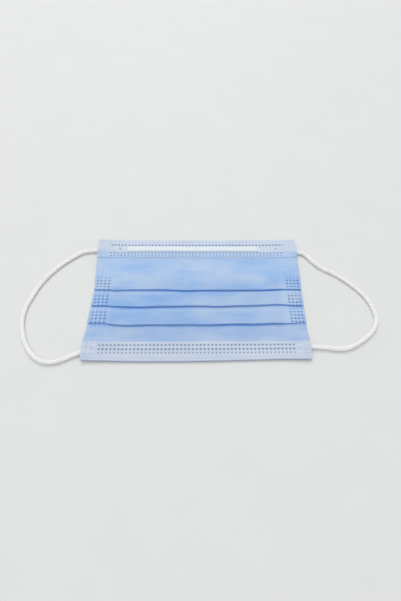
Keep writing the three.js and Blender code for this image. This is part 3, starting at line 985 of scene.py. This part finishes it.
def loop_points(route, width, height, flat):
    """Rings of points round the route of the elastic, which lies on the surface."""
    width, height, flat = (values[:, None] for values in (width, height, flat))
    ahead = np.gradient(route, axis=0)
    ahead /= np.linalg.norm(ahead, axis=1)[:, None]
    angles = np.arange(LOOP_SIDES)[None, :] * 2 * math.pi / LOOP_SIDES
    along = np.arange(len(route))[:, None] * LOOP_RING_STEP
    relief = knit(angles, along, flat)
    power = 1 - LOOP_END_SQUARE * flat
    across = rounded(np.cos(angles), power) * width / 2 * relief
    lift = rounded(np.sin(angles), power) * height / 2 * relief
    x = route[:, 0, None] - ahead[:, 1, None] * across
    y = route[:, 1, None] + ahead[:, 0, None] * across
    return np.stack([x, y, height / 2 + lift], axis=-1).reshape(-1, 3)


def loop_faces(count):
    """Faces between the rings, and one over each end."""
    rings = np.arange(count * LOOP_SIDES).reshape(count, LOOP_SIDES)
    closed = np.column_stack([rings, rings[:, 0]])
    return grid_faces(closed).tolist() + [rings[0, ::-1].tolist(), rings[-1].tolist()]


def make_loop(name, route, side, nodes):
    """Knitted elastic between two corners of the mask. side: -1 on the left, 1 on the right."""
    full = curve_through(loop_route(route, side, nodes[0], nodes[2]))
    width, height, flat = loop_sections(full)
    points = loop_points(full, width, height, flat)
    loop = make_object(name, points, loop_faces(len(full)), MATERIALS["elastic"])
    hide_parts(*nodes)
    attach(loop, "root")


# Shader nodes

def linear(color):
    """Linear colour of an 8-bit screen colour."""
    shares = [value / 255 for value in color]
    return (*(s / 12.92 if s <= 0.04045 else ((s + 0.055) / 1.055) ** 2.4 for s in shares), 1.0)


def new_material(name):
    material = bpy.data.materials.new(name)
    material.use_nodes = True
    material.node_tree.nodes.clear()
    return material, material.node_tree


def put(tree, value, socket):
    """Link another node's output to a socket, or set the socket to a value."""
    if isinstance(value, bpy.types.NodeSocket):
        tree.links.new(value, socket)
    else:
        socket.default_value = value


def node(tree, kind, **values):
    """A new node. Each value or output goes into the input of its name, or else the setting."""
    made = tree.nodes.new(kind)
    for name, value in values.items():
        if name in made.inputs:
            put(tree, value, made.inputs[name])
        else:
            setattr(made, name, value)
    return made


def mix_color(tree, factor, a, b, blend_type="MIX"):
    made = node(tree, "ShaderNodeMix", data_type="RGBA", blend_type=blend_type)
    for socket, value in ((0, factor), (6, a), (7, b)):
        put(tree, value, made.inputs[socket])
    return made.outputs[2]


def math_node(tree, operation, a, b):
    made = node(tree, "ShaderNodeMath", operation=operation)
    for socket, value in enumerate((a, b)):
        put(tree, value, made.inputs[socket])
    return made.outputs[0]


def multiply(tree, a, b):
    return math_node(tree, "MULTIPLY", a, b)


def tint(tree, color, other, share, amount):
    """A colour moved towards another one by a share times an amount."""
    return mix_color(tree, multiply(tree, share, amount), color, other)


def ramp(tree, value, start, end):
    """0 up to start, 1 from end on, and even between them."""
    values = {"Value": value, "From Min": start, "From Max": end}
    return node(tree, "ShaderNodeMapRange", **values).outputs["Result"]


def fade(tree, place, start, end):
    """The same, over places in millimetres."""
    return ramp(tree, place, float(start) * MM, float(end) * MM)


def box_share(tree, place, edges, share):
    """A share that fades out beyond each edge of a box: axis, place and softness."""
    for axis, edge, soft in edges:
        share = multiply(tree, fade(tree, place[axis], edge - soft, edge + soft), share)
    return share


def attribute(tree, name):
    return node(tree, "ShaderNodeAttribute", attribute_name=name).outputs["Fac"]


def object_place(tree):
    return node(tree, "ShaderNodeTexCoord").outputs["Object"]


def place_axes(tree):
    return node(tree, "ShaderNodeSeparateXYZ", Vector=object_place(tree)).outputs


def texture(tree, kind, values, mapping=None):
    """A texture on the object's own places, which the mapping scales or turns first."""
    place = object_place(tree)
    if mapping:
        place = node(tree, "ShaderNodeMapping", Vector=place, **mapping).outputs[0]
    return node(tree, kind, Vector=place, **values).outputs[0]


def finish_material(tree, height, bump, surface):
    """Relief, shader and output. bump, surface: values of the first two."""
    normal = node(tree, "ShaderNodeBump", Height=height, **bump).outputs["Normal"]
    shader = node(tree, "ShaderNodeBsdfPrincipled", Normal=normal, **surface)
    node(tree, "ShaderNodeOutputMaterial", Surface=shader.outputs[0])


# Materials

def cloth_color(tree, cloth, streaks, bonds):
    """Colour of a cloth, from its soft clouds to its welds, with painted shade in its creases."""
    kinds = ("base", "pale", "weld", "fold", "stack")
    base, pale, weld, fold, stack = (linear(cloth[kind]) for kind in kinds)
    clouds = ramp(tree, texture(tree, NOISE, CLOUDS, CLOUD_STRETCH), *CLOUD_CONTRAST)
    drifts = ramp(tree, texture(tree, NOISE, DRIFTS, DRIFT_STRETCH), *DRIFT_CONTRAST)
    color = tint(tree, base, pale, clouds, cloth["clouds"])
    color = tint(tree, color, pale, drifts, cloth["clouds"] * DRIFT_SHARE)
    color = mix_color(tree, attribute(tree, "stack"), color, stack, "MULTIPLY")
    color = tint(tree, color, pale, ramp(tree, streaks, *STREAK_CONTRAST), STREAK_SHARE)
    color = tint(tree, color, weld, bonds, BOND_SHARE)
    # painted shade in the creases and on the turned chin edge
    color = tint(tree, color, fold, attribute(tree, "fold"), PAINTED_SHADE_SHARE)
    return tint(tree, color, weld, attribute(tree, "weld"), cloth["welds"])


def cloth_material(name, cloth, details=None):
    """Soft bonded cloth. details: a function that works further on its colour."""
    material, tree = new_material(name)
    streaks = texture(tree, NOISE, STREAKS, STREAK_STRETCH)
    fibres = texture(tree, NOISE, FIBRES)
    bonds = ramp(tree, texture(tree, VORONOI, BONDS, BOND_TURN), *BOND_CONTRAST)
    color = cloth_color(tree, cloth, streaks, bonds)
    if details:
        color = details(tree, color)
    gloss = multiply(tree, attribute(tree, "weld"), WELD_GLOSS)
    rough = math_node(tree, "SUBTRACT", CLOTH_ROUGHNESS, gloss)
    fuzz = multiply(tree, fibres, FIBRE_RELIEF)
    fuzz = math_node(tree, "ADD", fuzz, multiply(tree, streaks, STREAK_RELIEF))
    height = math_node(tree, "SUBTRACT", fuzz, multiply(tree, bonds, BOND_RELIEF))
    finish_material(tree, height, CLOTH_BUMP, {"Base Color": color, "Roughness": rough, **CLOTH_SURFACE})
    return material


def show_blue(tree, place, color):
    """The blue ply through the nose hem below the wire, less where the hem is welded."""
    below_wire = fade(tree, place[1], *OVER_BLUE_FADE)
    on_nose_hem = fade(tree, place[1], 0, HEM_HALVES)
    share = multiply(tree, multiply(tree, below_wire, on_nose_hem), OVER_BLUE_SHARE)
    covered = multiply(tree, attribute(tree, "weld"), WELD_COVER)
    return tint(tree, color, linear(OVER_BLUE), share, math_node(tree, "SUBTRACT", 1.0, covered))


def show_loop_ends(tree, place, color):
    """The elastic's welded ends through the corners of the chin hem."""
    for mark in LOOP_MARKS:
        edges = [
            (axis, mark[axis] + side * half, -side * LOOP_PATCH_SOFT)
            for axis, half in enumerate(LOOP_PATCH_HALF) for side in (-1, 1)
        ]
        patch = box_share(tree, place, edges, LOOP_PATCH_SHARE)
        color = mix_color(tree, patch, color, linear(LOOP_PATCH))
    return color


def hem_details(tree, color):
    """What shows through the white ply of the hems, and painted shade over the chin hem."""
    place = place_axes(tree)
    color = show_blue(tree, place, color)
    # painted shade: the chin hem a little darker
    on_chin_hem = fade(tree, place[1], 0, -HEM_HALVES)
    color = mix_color(tree, on_chin_hem, color, linear(CHIN_PAINTED_SHADE), "MULTIPLY")
    over_wire = box_share(tree, place, OVER_WIRE_EDGES, OVER_WIRE_SHARE)
    color = mix_color(tree, over_wire, color, linear(OVER_WIRE))
    return show_loop_ends(tree, place, color)


def outer_details(tree, color):
    """Greyer blue below the last pleat."""
    low_panel = fade(tree, place_axes(tree)[1], *LOW_PANEL_FADE)
    return tint(tree, color, linear(LOW_PANEL), low_panel, LOW_PANEL_SHARE)


def outer_material():
    return cloth_material("outer_ply", BLUE_CLOTH, outer_details)


def inner_material():
    return cloth_material("inner_ply", WHITE_CLOTH)


def hem_material():
    return cloth_material("hem_ply", HEM_CLOTH, hem_details)


def plain_material(name, base, tone, grain_scale, depth, surface):
    """One colour with a fine grain towards a second one, which is raised too."""
    material, tree = new_material(name)
    grain = texture(tree, NOISE, {"Scale": grain_scale, **PLAIN_GRAIN})
    color = mix_color(tree, ramp(tree, grain, *PLAIN_CONTRAST), linear(base), linear(tone))
    bump = {"Strength": PLAIN_BUMP, "Distance": depth}
    finish_material(tree, grain, bump, {"Base Color": color, **surface})
    return material


def elastic_material():
    return plain_material("knitted_elastic", *ELASTIC, ELASTIC_SURFACE)


def wire_material():
    return plain_material("wire_sheath", *WIRE_SHEATH, WIRE_SURFACE)


def floor_material():
    return plain_material("floor", *FLOOR, FLOOR_SURFACE)


# Studio

def make_floor():
    mesh = bpy.data.meshes.new("floor")
    half = FLOOR_HALF
    corners = [(-half, -half, 0), (half, -half, 0), (half, half, 0), (-half, half, 0)]
    mesh.from_pydata(corners, [], [(0, 1, 2, 3)])
    mesh.materials.append(floor_material())
    floor = bpy.data.objects.new("floor", mesh)
    bpy.context.collection.objects.link(floor)


def area_light(name, place, size, power, color):
    """A round light that faces the middle of the mask."""
    data = bpy.data.lights.new(name, "AREA")
    data.shape = "DISK"
    data.size = size
    data.energy = power
    data.color = color
    light = bpy.data.objects.new(name, data)
    light.location = place
    light.rotation_euler = (-Vector(place)).to_track_quat("-Z", "Y").to_euler()
    bpy.context.collection.objects.link(light)


def make_light():
    for light in LIGHTS:
        area_light(*light)
    world = bpy.data.worlds.new("studio")
    world.use_nodes = True
    background = world.node_tree.nodes["Background"]
    background.inputs["Color"].default_value = SKY_COLOR
    background.inputs["Strength"].default_value = SKY_STRENGTH
    bpy.context.scene.world = world
    bpy.context.scene.view_settings.view_transform = "Standard"


MATERIALS = {
    "elastic": elastic_material(), "wire": wire_material(), "hem": hem_material(),
    "blue": outer_material(), "white": inner_material(),
}

make_camera()
make_loop("elastic_left", LEFT_LOOP_ROUTE, -1,
          ("loop_end_nose_left", "ear_loop_left", "loop_end_chin_left"))
make_loop("elastic_right", RIGHT_LOOP_ROUTE, 1,
          ("loop_end_nose_right", "ear_loop_right", "loop_end_chin_right"))
outer_ply = make_outer_ply()
inner_ply = make_inner_ply()
nose_hem = make_hem("nose_hem", "nose_binding", nose_level, nose_edge, NOSE_BAND_EDGE, 1)
chin_hem = make_hem("chin_hem", "chin_binding", chin_level, chin_edge, CHIN_BAND_EDGE, -1)
wire = make_wire()
for piece, slot in ((outer_ply, "blue_cloth"), (inner_ply, "white_cloth"),
                    (nose_hem, "white_cloth"), (chin_hem, "white_cloth"), (wire, "white_wire")):
    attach(piece, "root")

make_floor()
make_light()
